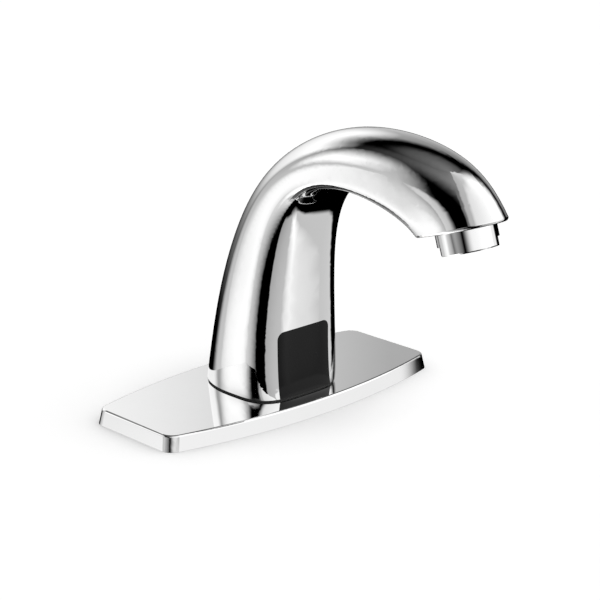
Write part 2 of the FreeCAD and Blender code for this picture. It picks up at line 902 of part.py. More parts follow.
def window_seal():
    """A thin rubber frame that follows the back of the window."""
    gap = number("size.window_gap")
    outer = window_prism("window_seal_outline", gap).Shape
    inner = window_prism("window_seal_hole", gap + number("size.window_seal_width")).Shape
    inner = inner.cut(footprint(-5, number(FOOT) - 2, number(FOOT) + number("size.window_seal_width")))
    front = body_form(number("size.window_thickness"), 0.5, 12)
    back = body_form(number("size.body_wall"), 0.5, 12)
    floor = footprint(number("size.body_wall"), number(FOOT) - 1, number(FOOT) + 0.5)
    frame = front.common(outer).cut(back).cut(inner).cut(floor)
    return shaped("window_seal", frame)


spout_body()
sensor_window()
window_seal()


# ---- The sensor module behind the window ----


def sensor_housing():
    half = "size.housing_half_width"
    high = "size.housing_top"
    block = box("housing_block", (f"-{half}", half), ("-30", HOUSING_BACK), (BASE_TOP, high))
    inside = shaped("housing_limit", body_form(number("size.body_wall") + 0.1, 0.5, 12))
    outer = common("housing_outer", [block, inside])
    side = "(size.housing_half_width - size.housing_side)"
    floor = f"({BASE_TOP} + size.housing_floor)"
    room = box(
        "housing_room",
        (f"-{side}", side),
        (f"{HOUSING_BACK} - size.housing_depth", "0"),
        (floor, f"{high} - size.housing_side"),
    )
    tools = [room]
    for index, sign in enumerate(("-", "")):
        eye = cylinder(f"eye_bore_{index}", "size.eye_radius + size.eye_gap", "0", "12")
        along(eye, Vector(1, 0, 0), 90)
        bind(eye, {"Placement.Base.x": f"{sign}size.eye_x", "Placement.Base.y": "-14"})
        bind(eye, {"Placement.Base.z": "size.eye_z"})
        tools.append(eye)
        x = f"{sign}size.sensor_screw_x"
        y = SENSOR_SCREW_Y
        radius = "size.sensor_screw_radius + size.part_fit"
        tools.append(cylinder(f"housing_screw_hole_{index}", radius, "0", floor, x, y))
        head = "size.sensor_screw_head + size.part_fit"
        sunk = f"({floor} - 1.4)"
        tools.append(cylinder(f"housing_head_hole_{index}", head, sunk, f"{floor} + 1", x, y))
    return cut("sensor_housing", outer, tools)


def sensor_cover():
    side = "(size.housing_half_width - 0.3)"
    span = (HOUSING_BACK, f"{HOUSING_BACK} + size.cover_thickness")
    high = "size.housing_top - 0.3"
    return box("sensor_cover", (f"-{side}", side), span, (f"{BASE_TOP} + 0.3", high))


def sensor_board():
    half = "size.board_half_width"
    rows = ("size.board_base", "size.board_top")
    return box("sensor_board", (f"-{half}", half), (BOARD_FRONT, BOARD_BACK), rows)


def sensor_eye(label, sign):
    """A lensed diode that looks out through the window."""
    made = cylinder(label, "size.eye_radius", "0", "size.eye_length")
    along(made, Vector(1, 0, 0), 90)
    bind(made, {"Placement.Base.x": f"{sign}size.eye_x", "Placement.Base.y": BOARD_FRONT})
    return bind(made, {"Placement.Base.z": "size.eye_z"})


def sensor_chip():
    half = "size.chip_side / 2"
    rows = (f"size.chip_z - {half}", f"size.chip_z + {half}")
    span = (f"{BOARD_FRONT} - size.chip_thickness", BOARD_FRONT)
    return box("sensor_chip", (f"-{half}", half), span, rows)


def sensor_screws():
    pieces = []
    floor = f"({BASE_TOP} + size.housing_floor)"
    for index, sign in enumerate(("-", "")):
        place = (f"{sign}size.sensor_screw_x", SENSOR_SCREW_Y)
        low = f"{BASE_LOW} + 1"
        seat = f"({floor} - 1.4)"
        pin = cylinder(f"sensor_screw_pin_{index}", "size.sensor_screw_radius", low, seat, *place)
        head = cylinder(f"sensor_screw_head_{index}", "size.sensor_screw_head", seat, floor, *place)
        pieces.append(fused(f"sensor_screw_{index}", [pin, head]))
    return grouped("sensor_screws", pieces)


sensor_housing()
sensor_cover()
sensor_board()
sensor_eye("ir_emitter", "-")
sensor_eye("ir_receiver", "")
sensor_chip()
sensor_screws()


# ---- Mounting: base, screws, shank, clamp washers and nut ----


def mounting_base():
    inset = number("size.body_wall + size.base_gap")
    low = number(BASE_LOW)
    block = Part.makeBox(80, 80, number(BASE_TOP) - low, Vector(-40, -40, low))
    trimmed = shaped("base_slab", body_form(inset, 0.25, 8).common(block))
    bore = cylinder("base_bore", "size.shank_radius + size.shank_fit", "0", "40")
    seat_low = f"({BASE_TOP} - size.collar_thickness)"
    seat = cylinder("base_seat", "size.collar_radius + size.shank_fit", seat_low, "40")
    tools = [bore, seat]
    for index, sign in enumerate(("-", "")):
        place = (f"{sign}size.boss_x", "size.boss_y")
        hole = "size.base_screw_radius + size.shank_fit"
        tools.append(cylinder(f"base_screw_hole_{index}", hole, "0", "40", *place))
        head = "size.base_screw_radius * 1.9 + size.shank_fit"
        high = f"{BASE_LOW} + 2.2"
        tools.append(cylinder(f"base_head_hole_{index}", head, "0", high, *place))
        place = (f"{sign}size.sensor_screw_x", SENSOR_SCREW_Y)
        hole = "size.sensor_screw_radius + size.part_fit"
        low = f"{BASE_LOW} + 0.8"
        tools.append(cylinder(f"base_sensor_hole_{index}", hole, low, "40", *place))
    return cut("mounting_base", trimmed, tools)


def base_screws():
    pieces = []
    for index, sign in enumerate(("-", "")):
        place = (f"{sign}size.boss_x", "size.boss_y")
        seat = f"({BASE_LOW} + 2.2)"
        high = f"({seat} + size.base_screw_length)"
        pin = cylinder(f"base_screw_pin_{index}", "size.base_screw_radius", seat, high, *place)
        head_radius = "size.base_screw_radius * 1.9"
        head = cylinder(f"base_screw_head_{index}", head_radius, BASE_LOW, seat, *place)
        socket = hexagon(f"base_screw_socket_{index}", "2.5", BASE_LOW, f"{BASE_LOW} + 1.4", *place)
        whole = fused(f"base_screw_whole_{index}", [pin, head])
        pieces.append(cut(f"base_screw_{index}", whole, [socket]))
    return grouped("base_screws", pieces)


def mounting_shank():
    collar_low = f"({BASE_TOP} - size.collar_thickness)"
    lip_low = f"({BASE_TOP} - size.lip_thickness)"
    lip = f"{SPIGOT_RADIUS} - size.lip_seat"
    profile = [
        ("size.shank_bore", SHANK_END),
        ("size.shank_radius - 1", SHANK_END),
        ("size.shank_radius", f"{SHANK_END} + 1"),
        ("size.shank_radius", collar_low),
        ("size.collar_radius", collar_low),
        ("size.collar_radius", BASE_TOP),
        (lip, BASE_TOP),
        (lip, lip_low),
        ("size.shank_bore", lip_low),
    ]
    whole = turned("shank_turned", profile)
    tools = []
    for index, degrees in enumerate((45, 135, 225, 315)):
        x, y = around(SCREW_CIRCLE, degrees)
        radius = "size.valve_screw_radius + size.part_fit"
        low = f"{lip_low} - 1"
        tools.append(cylinder(f"shank_screw_hole_{index}", radius, low, f"{BASE_TOP} + 1", x, y))
    return cut("mounting_shank", whole, tools)


def clamp_washer(label, low, high, inner, outer):
    return turned(label, [(inner, low), (outer, low), (outer, high), (inner, high)])


def mounting_nut():
    high = "(-size.worktop - size.clamp_rubber - size.clamp_steel)"
    low = f"({high} - size.nut_height)"
    block = hexagon("nut_block", "size.nut_flats", low, high)
    bore = cylinder("nut_bore", "size.shank_radius + size.nut_fit", f"{low} - 1", f"{high} + 1")
    return cut("mounting_nut", block, [bore])


mounting_base()
base_screws()
mounting_shank()
RUBBER_LOW = "(-size.worktop - size.clamp_rubber)"
STEEL_LOW = f"({RUBBER_LOW} - size.clamp_steel)"
CLAMP_BORE = "size.shank_radius + size.clamp_fit"
clamp_washer("clamp_washer_rubber", RUBBER_LOW, "-size.worktop", CLAMP_BORE, "size.clamp_radius")
clamp_washer("clamp_washer_steel", STEEL_LOW, RUBBER_LOW, CLAMP_BORE, "size.clamp_radius - 1")
mounting_nut()


# ---- Water inlet and cable grommet ----


def inlet_tube():
    """The riser: its spigot seals in the valve, and its foot is soldered into the nipple."""
    low = f"({NIPPLE_TOP} - size.nipple_socket_depth)"
    profile = [
        ("size.inlet_bore", low),
        ("size.inlet_tube_radius", low),
        ("size.inlet_tube_radius", BASE_TOP),
        (SPIGOT_RADIUS, BASE_TOP),
        (SPIGOT_RADIUS, SPIGOT_TOP),
        ("size.inlet_bore", SPIGOT_TOP),
    ]
    return turned("inlet_tube", profile)


def inlet_nipple():
    """The threaded end for the supply hose, with a hexagon to hold it by."""
    flare = "(size.filter_radius + size.filter_fit)"
    seat = f"({NIPPLE_END} + size.filter_depth)"
    socket = "(size.inlet_tube_radius + size.stroke_spare)"
    low = f"({NIPPLE_TOP} - size.nipple_socket_depth - size.stroke_spare)"
    profile = [
        (flare, NIPPLE_END),
        ("size.nipple_radius - 0.6", NIPPLE_END),
        ("size.nipple_radius", f"{NIPPLE_END} + 0.6"),
        ("size.nipple_radius", NIPPLE_TOP),
        (socket, NIPPLE_TOP),
        (socket, low),
        ("size.inlet_bore", low),
        ("size.inlet_bore", seat),
        (flare, seat),
    ]
    whole = turned("nipple_turned", profile)
    collar = hexagon("nipple_hex_block", "size.nipple_hex", NIPPLE_HEX_LOW, NIPPLE_TOP)
    hole_low = f"{NIPPLE_HEX_LOW} - 1"
    bore = cylinder("nipple_hex_bore", "size.nipple_radius - 1", hole_low, f"{NIPPLE_TOP} + 1")
    return fused("inlet_nipple", [whole, cut("nipple_hex_ring", collar, [bore])])


def inlet_filter():
    """A cup-shaped strainer in the mouth of the inlet."""
    seat = f"({NIPPLE_END} + size.filter_depth)"
    outer = "size.filter_radius"
    wall = "size.filter_wall"
    profile = [
        (f"{outer} - {wall}", NIPPLE_END),
        (outer, NIPPLE_END),
        (outer, seat),
        ("0", seat),
        ("0", f"{seat} - {wall}"),
        (f"{outer} - {wall}", f"{seat} - {wall}"),
    ]
    cup = turned("filter_cup", profile)
    holes = [cylinder("filter_hole", "0.6", f"{seat} - 2", f"{seat} + 1")]
    for ring, count in ((1, 6), (2, 12)):
        for step in range(count):
            x, y = around(f"(size.filter_radius * {ring} / 3.2)", 360 * step / count)
            low = f"{seat} - 2"
            high = f"{seat} + 1"
            holes.append(cylinder(f"filter_hole_{ring}_{step}", "0.6", low, high, x, y))
    return cut("inlet_filter", cup, holes)


def cable_grommet():
    """Closes the shank round the inlet tube and holds the sensor cable's hole."""
    inner = "size.inlet_tube_radius + size.grommet_fit"
    outer = "size.shank_bore - size.grommet_fit"
    high = f"{SHANK_END} + size.grommet_height"
    ring = turned("grommet_ring", [(inner, SHANK_END), (outer, SHANK_END), (outer, high), (inner, high)])
    low = f"{SHANK_END} - 1"
    hole = cylinder("grommet_hole", "size.cable_hole", low, f"{high} + 1", "0", "-size.cable_offset")
    return cut("cable_grommet", ring, [hole])


inlet_tube()
inlet_nipple()
inlet_filter()
cable_grommet()


# ---- Valve: body, diaphragm, bonnet and screws ----


def valve_body():
    socket = f"({SPIGOT_RADIUS} + size.spigot_fit)"
    floor = f"({VALVE_TOP} - size.annulus_depth)"
    profile = [
        ("0", CHAMBER_TOP),
        (socket, CHAMBER_TOP),
        (socket, BASE_TOP),
        ("size.valve_radius", BASE_TOP),
        ("size.valve_radius", VALVE_TOP),
        (ANNULUS_OUTER, VALVE_TOP),
        (ANNULUS_OUTER, floor),
        ("size.seat_outer", floor),
        ("size.seat_outer", VALVE_TOP),
        ("0", VALVE_TOP),
    ]
    middle = turned("valve_turned", profile)
    boss_low = f"({SIDE_BORE_Z} - size.side_bore - 2)"
    x = OUTLET_X
    boss = cylinder("outlet_boss_block", "size.outlet_boss", boss_low, VALVE_TOP, x)
    web = box("outlet_web", ("size.valve_radius - 1.5", x), ("-3.6", "3.6"), (boss_low, VALVE_TOP))
    whole = fused("valve_blank", [middle, boss, web])
    down = cylinder("seat_bore", "size.seat_bore", SIDE_BORE_Z, f"{VALVE_TOP} + 1")
    side = cylinder("side_bore", "size.side_bore", "0", x)
    along(side, Vector(0, 1, 0), 90)
    bind(side, {"Placement.Base.z": SIDE_BORE_Z})
    tube = cylinder("tube_socket", "size.tube_radius + size.tube_fit", TUBE_LOW, "60", x)
    riser = cylinder("side_riser", "size.side_bore", SIDE_BORE_Z, "60", x)
    ring_seat = f"{VALVE_TOP} - 2.2 * size.ring_wire"
    ring_radius = "size.tube_radius + 2 * size.ring_wire + size.tube_fit"
    ring = cylinder("ring_seat", ring_radius, ring_seat, "60", x)
    tools = [down, side, tube, riser, ring]
    for index, degrees in enumerate((120, 180, 240)):
        px, py = around(f"({ANNULUS_OUTER} + size.seat_outer) / 2", degrees)
        low = f"{CHAMBER_TOP} - 1"
        passage = cylinder(f"passage_{index}", "size.passage_radius", low, f"{floor} + 1", px, py)
        tools.append(passage)
    for index, degrees in enumerate((45, 135, 225, 315)):
        px, py = around(SCREW_CIRCLE, degrees)
        radius = "size.valve_screw_radius + size.part_fit"
        tools.append(cylinder(f"valve_screw_hole_{index}", radius, "0", "60", px, py))
    return cut("valve_body", whole, tools)


def valve_diaphragm():
    top = DIAPHRAGM_TOP
    profile = [
        ("0.6", VALVE_TOP),
        (DIAPHRAGM_RADIUS, VALVE_TOP),
        (DIAPHRAGM_RADIUS, top),
        ("0.6", top),
    ]
    return turned("valve_diaphragm", profile)


def diaphragm_disc():
    top = f"{DIAPHRAGM_TOP} + size.disc_thickness"
    profile = [
        ("0.6", DIAPHRAGM_TOP),
        ("size.disc_radius", DIAPHRAGM_TOP),
        ("size.disc_radius", top),
        ("0.6", top),
    ]
    return turned("diaphragm_disc", profile)


def valve_bonnet():
    ceiling = f"({DIAPHRAGM_TOP} + size.disc_thickness + size.disc_lift + 0.3)"
    rim = f"({DIAPHRAGM_RADIUS} + size.part_fit)"
    flange = "(size.guide_flange + size.part_fit)"
    profile = [
        (ANNULUS_OUTER, DIAPHRAGM_TOP),
        (rim, DIAPHRAGM_TOP),
        (rim, VALVE_TOP),
        ("size.valve_radius", VALVE_TOP),
        ("size.valve_radius", BONNET_TOP),
        (flange, BONNET_TOP),
        (flange, SOCKET_FLOOR),
        ("size.pilot_seat", SOCKET_FLOOR),
        ("size.pilot_seat", PILOT_TOP),
        ("size.pilot_bore", PILOT_TOP),
        ("size.pilot_bore", ceiling),
        (ANNULUS_OUTER, ceiling),
    ]
    whole = turned("bonnet_turned", profile)
    tools = []
    for index, degrees in enumerate((45, 135, 225, 315)):
        x, y = around(SCREW_CIRCLE, degrees)
        radius = "size.valve_screw_radius + size.part_fit"
        tools.append(cylinder(f"bonnet_screw_hole_{index}", radius, "0", "60", x, y))
        radius = "size.valve_screw_head + size.part_fit"
        low = f"({BONNET_TOP} - size.valve_screw_head_height)"
        tools.append(cylinder(f"bonnet_head_hole_{index}", radius, low, "60", x, y))
    return cut("valve_bonnet", whole, tools)


def valve_screws():
    """Four long screws that clamp the bonnet and the valve to the shank's lip."""
    pieces = []
    for index, degrees in enumerate((45, 135, 225, 315)):
        place = around(SCREW_CIRCLE, degrees)
        low = f"({BASE_TOP} - size.lip_thickness + 0.2)"
        seat = f"({BONNET_TOP} - size.valve_screw_head_height)"
        pin = cylinder(f"valve_screw_pin_{index}", "size.valve_screw_radius", low, seat, *place)
        head_name = f"valve_screw_top_{index}"
        head = cylinder(head_name, "size.valve_screw_head", seat, BONNET_TOP, *place)
        pieces.append(fused(f"valve_screw_{index}", [pin, head]))
    return grouped("valve_screws", pieces)


def tube_ring():
    """The O-ring between the water tube and its socket."""
    made = doc.addObject("Part::Torus", "tube_o_ring")
    bind(made, {"Radius1": "size.tube_radius + size.ring_wire + size.tube_fit / 2"})
    bind(made, {"Radius2": "size.ring_wire", "Placement.Base.x": OUTLET_X})
    return bind(made, {"Placement.Base.z": f"{VALVE_TOP} - 1.1 * size.ring_wire"})


def spout_tube():
    outer = pipe(TUBE_PATH, number("size.tube_radius"))
    inner = pipe(TUBE_PATH, number("size.tube_bore"))
    return shaped("spout_tube", outer.cut(inner))


valve_body()
valve_diaphragm()
diaphragm_disc()
valve_bonnet()
valve_screws()
tube_ring()
spout_tube()


# ---- Solenoid: guide tube, plunger, spring, core, coil and yoke ----


def plunger_tube():
    inner = "size.guide_inner"
    cap_low = f"({GUIDE_TOP} - size.guide_wall)"
    stub_top = f"({GUIDE_TOP} + size.stub_length)"
    profile = [
        (inner, SOCKET_FLOOR),
        ("size.guide_flange", SOCKET_FLOOR),
        ("size.guide_flange", BONNET_TOP),
        (GUIDE_OUTER, BONNET_TOP),
        (GUIDE_OUTER, GUIDE_TOP),
        ("size.stub_radius", GUIDE_TOP),
        ("size.stub_radius", stub_top),
        ("0", stub_top),
        ("0", cap_low),
        (inner, cap_low),
    ]
    return turned("plunger_tube", profile)


def valve_plunger():
    radius = "(size.guide_inner - size.plunger_fit)"
    tip = "(size.tip_radius + size.shank_fit)"
    recess = f"({PLUNGER_LOW} + size.tip_thickness - size.tip_recess)"
    spring_low = f"({PLUNGER_TOP} - size.spring_bore_depth)"
    profile = [
        (tip, PLUNGER_LOW),
        (radius, PLUNGER_LOW),
        (radius, PLUNGER_TOP),
        ("size.spring_bore", PLUNGER_TOP),
        ("size.spring_bore", spring_low),
        ("0", spring_low),
        ("0", recess),
        (tip, recess),
    ]
    return turned("valve_plunger", profile)


def plunger_tip():
    top = f"({PILOT_TOP} + size.tip_thickness)"
    radius = "size.tip_radius"
    return turned("plunger_seal", [("0", PILOT_TOP), (radius, PILOT_TOP), (radius, top), ("0", top)])


def plunger_spring():
    """A fine coil between the plunger and the fixed core."""
    low = number(f"{PLUNGER_TOP} - size.spring_bore_depth + size.spring_wire")
    high = number(f"{CORE_LOW} + size.core_bore_depth - size.spring_wire")
    radius = number("size.spring_radius")
    height = high - low
    helix = Part.makeHelix(height / number("size.spring_turns"), height, radius)
    ring = Part.Circle(Vector(radius, 0, 0), Vector(0, 1, 0), number("size.spring_wire"))
    coil = Part.Wire(helix.Edges).makePipeShell([Part.Wire(ring.toShape())], True, True)
    made = shaped("plunger_spring", coil)
    made.Placement = Placement(Vector(0, 0, low), Rotation())
    return made


def solenoid_core():
    radius = "(size.guide_inner - size.plunger_fit)"
    top = f"({GUIDE_TOP} - size.guide_wall - size.stroke_spare)"
    bore_top = f"({CORE_LOW} + size.core_bore_depth)"
    profile = [
        ("size.spring_bore", CORE_LOW),
        (radius, CORE_LOW),
        (radius, top),
        ("0", top),
        ("0", bore_top),
        ("size.spring_bore", bore_top),
    ]
    return turned("solenoid_core", profile)


BOBBIN_INNER = f"({GUIDE_OUTER} + size.bobbin_fit)"
BOBBIN_OUTER = f"({BOBBIN_INNER} + size.bobbin_wall)"


def solenoid_bobbin():
    low_flange = f"({COIL_LOW} + size.bobbin_flange)"
    high_flange = f"({COIL_TOP} - size.bobbin_flange)"
    rim = "(size.yoke_inner - size.bobbin_fit)"
    profile = [
        (BOBBIN_INNER, COIL_LOW),
        (rim, COIL_LOW),
        (rim, low_flange),
        (BOBBIN_OUTER, low_flange),
        (BOBBIN_OUTER, high_flange),
        (rim, high_flange),
        (rim, COIL_TOP),
        (BOBBIN_INNER, COIL_TOP),
    ]
    return turned("solenoid_bobbin", profile)


def solenoid_winding():
    low = f"({COIL_LOW} + size.bobbin_flange)"
    high = f"({COIL_TOP} - size.bobbin_flange)"
    inner = f"({BOBBIN_OUTER} + size.stroke_spare)"
    outer = "size.coil_radius"
    return turned("solenoid_winding", [(inner, low), (outer, low), (outer, high), (inner, high)])


def solenoid_yoke():
    inner = "size.yoke_inner"
    outer = f"({inner} + size.yoke_wall)"
    roof = f"({COIL_TOP} + size.stroke_spare)"
    profile = [
        (inner, BONNET_TOP),
        (outer, BONNET_TOP),
        (outer, YOKE_TOP),
        (BOBBIN_INNER, YOKE_TOP),
        (BOBBIN_INNER, roof),
        (inner, roof),
    ]
    return turned("solenoid_yoke", profile)


def yoke_plate():
    rim = "(size.yoke_inner - size.bobbin_fit)"
    profile = [
        (BOBBIN_INNER, BONNET_TOP),
        (rim, BONNET_TOP),
        (rim, COIL_LOW),
        (BOBBIN_INNER, COIL_LOW),
    ]
    return turned("yoke_plate", profile)


def coil_nut():
    high = f"({GUIDE_TOP} + size.coil_nut_height)"
    block = hexagon("coil_nut_block", "size.coil_nut_flats", GUIDE_TOP, high)
    bore = cylinder("coil_nut_bore", "size.stub_radius + size.shank_fit", "0", "90")
    return cut("coil_nut", block, [bore])


plunger_tube()
valve_plunger()
plunger_tip()
plunger_spring()
solenoid_core()
solenoid_bobbin()
solenoid_winding()
solenoid_yoke()
yoke_plate()
coil_nut()


# ---- Aerator: drawn round its own Z, outlet face at 0, mouth below ----

MOUTH = "(-size.aerator_drop)"


def aerator_housing():
    chamfer = "size.aerator_chamfer"
    shoulder = "(-size.aerator_gap)"
    lip = f"({MOUTH} + size.lip_height)"
    profile = [
        ("size.lip_bore", MOUTH),
        (f"size.aerator_radius - {chamfer}", MOUTH),
        ("size.aerator_radius", f"{MOUTH} + {chamfer}"),
        ("size.aerator_radius", shoulder),
        ("size.thread_radius", shoulder),
        ("size.thread_radius", "size.thread_length"),
        ("size.housing_bore", "size.thread_length"),
        ("size.housing_bore", lip),
        ("size.lip_bore", lip),
    ]
    whole = turned("aerator_turned", profile)
    half = "size.flat_width / 2"
    top = f"({MOUTH} + size.flat_height)"
    flats = []
    for index, turn in enumerate(("0", "180")):
        block = box(f"wrench_flat_{index}", ("0", "8"), ("-20", "20"), (f"{MOUTH} - 1", top))
        angle = f"size.flat_turn + {turn}"
        block.Placement = Placement(Vector(0, 0, 0), Rotation(Vector(0, 0, 1), 1))
        bind(block, {"Placement.Rotation.Angle": angle})
        reach_x = f"{half} * cos({angle}) + 20 * sin({angle})"
        reach_y = f"{half} * sin({angle}) - 20 * cos({angle})"
        bind(block, {"Placement.Base.x": reach_x, "Placement.Base.y": reach_y})
        block.setExpression("Width", "40")
        flats.append(block)
    return in_nose(cut("aerator_housing", whole, flats))


def aerator_washer():
    low = "(size.thread_length + size.washer_play)"
    high = "(size.socket_depth - size.washer_play)"
    inner = "size.washer_inner"
    outer = "size.washer_outer"
    profile = [(inner, low), (outer, low), (outer, high), (inner, high)]
    return in_nose(turned("aerator_washer", profile))


def aerator_cartridge():
    """The plastic insert: a sleeve with a shelf that carries the jet disc."""
    low = f"({MOUTH} + size.lip_height + size.part_fit)"
    high = "(size.thread_length - size.part_fit)"
    bore = f"({INSERT_RADIUS} - size.insert_wall)"
    profile = [
        (bore, low),
        (INSERT_RADIUS, low),
        (INSERT_RADIUS, high),
        (bore, high),
        (bore, SHELF_TOP),
        ("size.shelf_bore", SHELF_TOP),
        ("size.shelf_bore", "0"),
        (bore, "0"),
    ]
    return in_nose(turned("aerator_cartridge", profile))


def disc(name, radius, low, high):
    return turned(name, [("0", low), (radius, low), (radius, high), ("0", high)])


def ring_of_holes(name, radius, low, high, circles):
    """Holes on several circles, each given as (share of the disc's radius, count)."""
    holes = []
    for ring, (share, count) in enumerate(circles):
        for step in range(count):
            x, y = around(f"({PART_RADIUS} * {share})", 360 * step / count)
            holes.append(cylinder(f"{name}_{ring}_{step}", radius, low, high, x, y))
    return holes


def jet_disc():
    whole = disc("jet_blank", PART_RADIUS, SHELF_TOP, JET_TOP)
    low = f"{SHELF_TOP} - 1"
    high = f"{JET_TOP} + 1"
    holes = ring_of_holes("jet_hole", "size.jet_hole", low, high, [(0.15, 3), (0.28, 6)])
    return in_nose(cut("jet_disc", whole, holes))


def flow_regulator():
    high = f"({JET_TOP} + size.regulator_thickness)"
    post = "size.regulator_post"
    whole = disc("regulator_blank", PART_RADIUS, JET_TOP, high)
    low = f"{JET_TOP} - 1"
    holes = ring_of_holes("regulator_hole", "0.9", low, f"{high} + 1", [(0.42, 8), (0.75, 14)])
    centre = disc("regulator_post", post, high, f"{high} + 0.8")
    blank = fused("regulator_whole", [whole, centre])
    return in_nose(cut("flow_regulator", blank, holes))


def inlet_screen():
    low = f"({JET_TOP} + size.regulator_thickness + 0.9)"
    high = f"({low} + size.screen_thickness)"
    whole = disc("screen_blank", PART_RADIUS, low, high)
    circles = [(0.2, 5), (0.4, 11), (0.6, 17), (0.8, 22)]
    under = f"{low} - 1"
    over = f"{high} + 1"
    holes = ring_of_holes("screen_hole", "size.screen_hole", under, over, circles)
    return in_nose(cut("aerator_screen", whole, holes))


def outlet_grid():
    """The open grid at the mouth, with holes on a triangular pitch."""
    low = f"({MOUTH} + size.lip_height + size.part_fit)"
    high = f"({low} + size.grid_thickness)"
    whole = disc("grid_blank", PART_RADIUS, low, high)
    pitch = number("size.grid_pitch")
    limit = number(f"{PART_RADIUS} - size.grid_hole") - 0.5
    holes = []
    for line in range(-4, 5):
        for step in range(-4, 5):
            x = pitch * (step + line / 2)
            y = pitch * line * math.sqrt(0.75)
            if math.hypot(x, y) > limit:
                continue
            name = f"grid_hole_{line + 4}_{step + 4}"
            x_place = f"size.grid_pitch * {step + line / 2}"
            y_place = f"size.grid_pitch * {line} * sqrt(0.75)"
            under = f"{low} - 1"
            over = f"{high} + 1"
            holes.append(cylinder(name, "size.grid_hole", under, over, x_place, y_place))
    return in_nose(cut("aerator_grid", whole, holes))


aerator_housing()
aerator_washer()
aerator_cartridge()
jet_disc()
flow_regulator()
inlet_screen()
outlet_grid()

# ---- Check everything, then write one file for each piece ----

NODES = [
    "spout_body", "body_base_seal", "deck_plate", "plate_insert", "deck_gasket",
    "sensor_window", "window_seal", "sensor_housing", "sensor_cover", "sensor_board",
    "ir_emitter", "ir_receiver", "sensor_chip", "sensor_screws",
    "mounting_base", "base_screws", "mounting_shank", "clamp_washer_rubber",
    "clamp_washer_steel", "mounting_nut", "inlet_tube", "inlet_nipple", "inlet_filter", "cable_grommet",
    "valve_body", "valve_diaphragm", "diaphragm_disc", "valve_bonnet", "valve_screws",
    "tube_o_ring", "spout_tube", "plunger_tube", "valve_plunger", "plunger_seal",
    "plunger_spring", "solenoid_core", "solenoid_bobbin", "solenoid_winding",
    "solenoid_yoke", "yoke_plate", "coil_nut", "aerator_housing", "aerator_washer",
    "aerator_cartridge", "jet_disc", "flow_regulator", "aerator_screen", "aerator_grid",
]

doc.recompute()
for thing in doc.Objects:
    if "Invalid" in thing.State or "Error" in thing.State:
        raise RuntimeError(f"{thing.Name} failed: {thing.State}")
pieces = {}
for node in NODES:
    found = doc.getObjectsByLabel(node)
    if len(found) != 1:
        raise RuntimeError(f"{node}: {len(found)} objects have this label")
    shape = found[0].Shape
    if shape.isNull() or not shape.isValid() or not shape.Solids:
        raise RuntimeError(f"{node} has no valid solid")
    pieces[node] = shape
os.makedirs("parts", exist_ok=True)
for node, shape in pieces.items():
    shape.exportStep(os.path.join("parts", node + ".step"))
    print(f"{node:22} {len(shape.Solids)} solids, {shape.Volume / 1000:8.2f} cm3")
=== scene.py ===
# %% [markdown]
# # A hands-free basin tap
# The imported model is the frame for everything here: each node already sits where it belongs, in
# metres. Its shapes are right, so this lesson is about polish, light and small surface detail.
# Only the plunger's spring gets a piece of its own, because it has to shorten.
# %% Load the model
import bpy
import json
import math
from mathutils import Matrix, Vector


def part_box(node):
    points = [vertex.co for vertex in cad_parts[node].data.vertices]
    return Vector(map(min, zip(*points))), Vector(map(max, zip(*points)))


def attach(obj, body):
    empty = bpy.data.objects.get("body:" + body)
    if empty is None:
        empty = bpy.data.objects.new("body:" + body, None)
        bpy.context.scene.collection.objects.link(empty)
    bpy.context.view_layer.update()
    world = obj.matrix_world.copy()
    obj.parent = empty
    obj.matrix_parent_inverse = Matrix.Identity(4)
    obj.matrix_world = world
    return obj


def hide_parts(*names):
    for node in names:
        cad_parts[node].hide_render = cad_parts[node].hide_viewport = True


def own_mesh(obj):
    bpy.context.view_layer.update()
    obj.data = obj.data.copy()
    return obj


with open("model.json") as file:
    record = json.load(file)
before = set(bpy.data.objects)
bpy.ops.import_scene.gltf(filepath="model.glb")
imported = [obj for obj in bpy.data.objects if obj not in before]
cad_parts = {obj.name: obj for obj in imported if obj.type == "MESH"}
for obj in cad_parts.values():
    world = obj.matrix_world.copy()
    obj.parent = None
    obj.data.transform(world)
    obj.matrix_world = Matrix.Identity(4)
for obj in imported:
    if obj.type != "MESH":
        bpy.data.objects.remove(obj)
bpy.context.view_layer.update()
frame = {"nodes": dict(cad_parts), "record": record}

nodes = frame["nodes"]

# %% [markdown]
# ## The camera
# The photograph looks down a little, from the front left, through a long lens: upright lines
# stay upright and far edges shrink only slightly.
# %% Camera
LENS = 117.5
CAMERA_PLACE = (-0.56771, -0.61596, 0.31152)
LOOKS_DOWN = 17.67
SWINGS_ROUND = -43.66
camera_data = bpy.data.cameras.new("camera")
camera_data.lens = LENS
camera = bpy.data.objects.new("camera", camera_data)
camera.location = CAMERA_PLACE
camera.rotation_euler = (math.radians(90 - LOOKS_DOWN), 0, math.radians(SWINGS_ROUND))
bpy.context.scene.collection.objects.link(camera)
bpy.context.scene.camera = camera
bpy.context.scene.view_settings.view_transform = "Standard"
print("camera", [round(v, 3) for v in camera.location], "lens", camera_data.lens)

# %% [markdown]
# ## Small helpers for node trees
# Every finish below is a tree of nodes. One helper adds a node with its values, one links two
# sockets and one starts a group, so that each material reads as a short list.


# %% Node helpers
def add(tree, kind, values=None, **settings):
    """A new node, with its settings and the values on its input sockets."""
    node = tree.nodes.new(kind)
    for name, setting in settings.items():
        setattr(node, name, setting)
    for name, value in (values or {}).items():
        node.inputs[name].default_value = value
    return node


def join(tree, source, output, target, name):
    """Link one node's output to another node's input."""
    tree.links.new(source.outputs[output], target.inputs[name])


